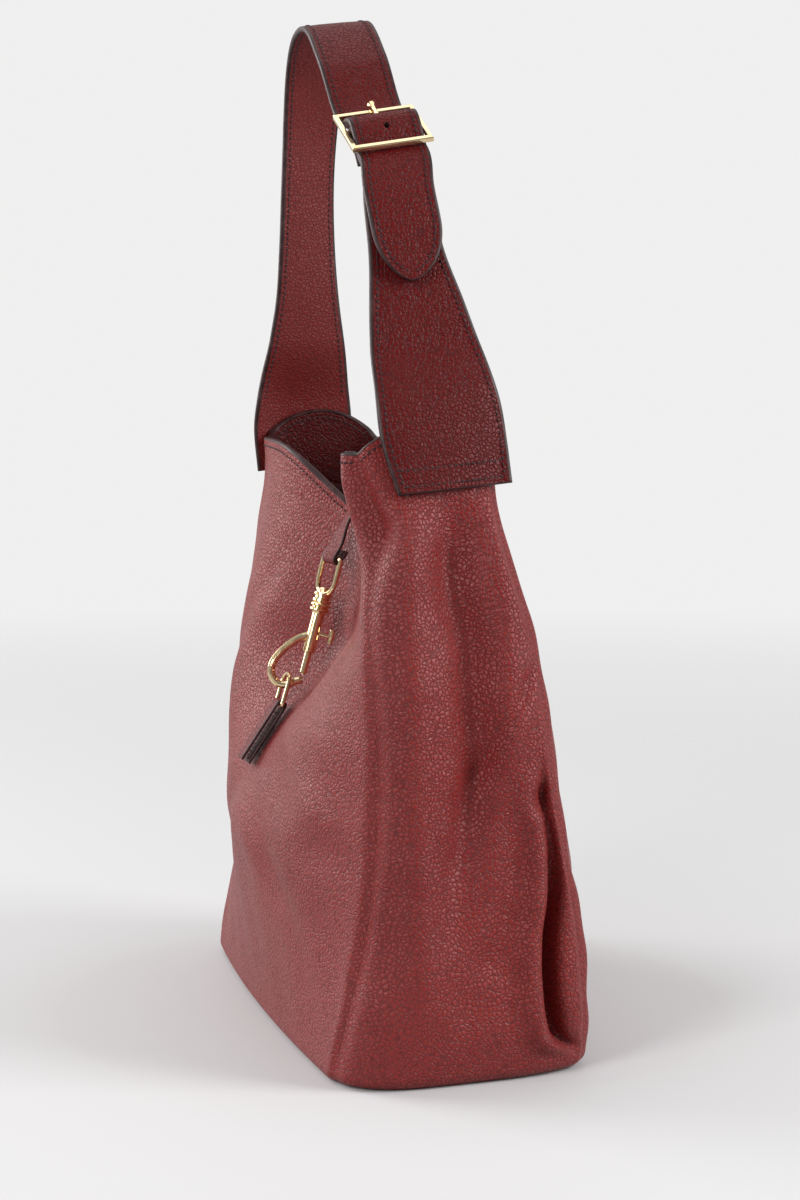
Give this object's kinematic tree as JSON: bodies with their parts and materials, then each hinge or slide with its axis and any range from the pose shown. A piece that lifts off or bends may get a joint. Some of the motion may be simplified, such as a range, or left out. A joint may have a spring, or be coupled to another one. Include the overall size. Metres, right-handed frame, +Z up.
{
  "type": "hobo bag",
  "caption": "Soft leather shoulder bag with gusseted sides, a curved open top, a wide buckled strap and a swivel clasp that holds the front to a tab.",
  "frame": {"origin": "centre of the base, on the surface that the bag stands on", "axes": "+X along the bag's width towards the buckled end of the strap, -Y out of the front with the clasp, +Z up"},
  "size_m": [0.3644, 0.1853, 0.5803],
  "materials": {
    "bag_leather": "pebbled dark red leather, soft sheen",
    "strap_leather": "pebbled deep red leather with painted edges",
    "edge_leather": "smooth deep red leather facing",
    "lining_cloth": "dark red woven lining",
    "board": "stiffening board",
    "gold": "polished pale gold",
    "steel": "spring wire"
  },
  "bodies": {
    "bag": {"front_panel": "bag_leather", "back_panel": "bag_leather", "right_gusset": "bag_leather", "left_gusset": "bag_leather", "base_panel": "bag_leather", "base_board": "board", "facing_front": "edge_leather", "facing_back": "edge_leather", "facing_right": "edge_leather", "facing_left": "edge_leather", "lining_front": "lining_cloth", "lining_back": "lining_cloth", "lining_right": "lining_cloth", "lining_left": "lining_cloth", "lining_base": "lining_cloth", "strap_tab_right": "strap_leather", "strap_tab_left": "strap_leather", "strap_neck_right": "strap_leather", "strap_neck_left": "strap_leather", "closure_strap": "strap_leather", "ring_tab": "strap_leather"},
    "handle": {"long_strap_outer": "strap_leather", "long_strap_lining": "strap_leather", "short_strap_outer": "strap_leather", "short_strap_lining": "strap_leather", "buckle_frame": "gold", "buckle_bar": "gold"},
    "prong": {"buckle_prong": "gold"},
    "clasp_eye": {"swivel_eye": "gold"},
    "hook": {"hook_body": "gold", "bolt_spring": "steel"},
    "bolt": {"hook_bolt": "gold", "thumb_knob": "gold"},
    "ring": {"tab_ring": "gold"}
  },
  "joints": [
    {"name": "handle_swing", "type": "hinge", "parent": "bag", "child": "handle", "pos_m": [0, -0.015, 0.353], "axis": [1, 0, 0], "range_deg": [-20, 20], "deforming": ["strap_neck_right", "strap_neck_left"]},
    {"name": "prong_lift", "type": "hinge", "parent": "handle", "child": "prong", "pos_m": [0.0725, -0.023, 0.511], "axis": [0, 0.9877, 0.1564], "range_deg": [0, 5]},
    {"name": "eye_swing", "type": "hinge", "parent": "bag", "child": "clasp_eye", "pos_m": [0, -0.035, 0.2682], "axis": [0.9397, 0.3304, -0.0885], "range_deg": [-2, 2]},
    {"name": "hook_swivel", "type": "hinge", "parent": "clasp_eye", "child": "hook", "pos_m": [0, -0.04209, 0.24173], "axis": [0, 0.2588, 0.9659], "range_deg": [-8, 8]},
    {"name": "bolt_slide", "type": "slide", "parent": "hook", "child": "bolt", "axis": [0, 0.2588, 0.9659], "range_m": [0, 0.007], "stiffness_N_per_m": 120, "deforming": ["bolt_spring"]},
    {"name": "ring_swing", "type": "hinge", "parent": "bag", "child": "ring", "pos_m": [0, -0.0675, 0.1828], "axis": [1, 0, 0], "range_deg": [-4, 4]}
  ]
}
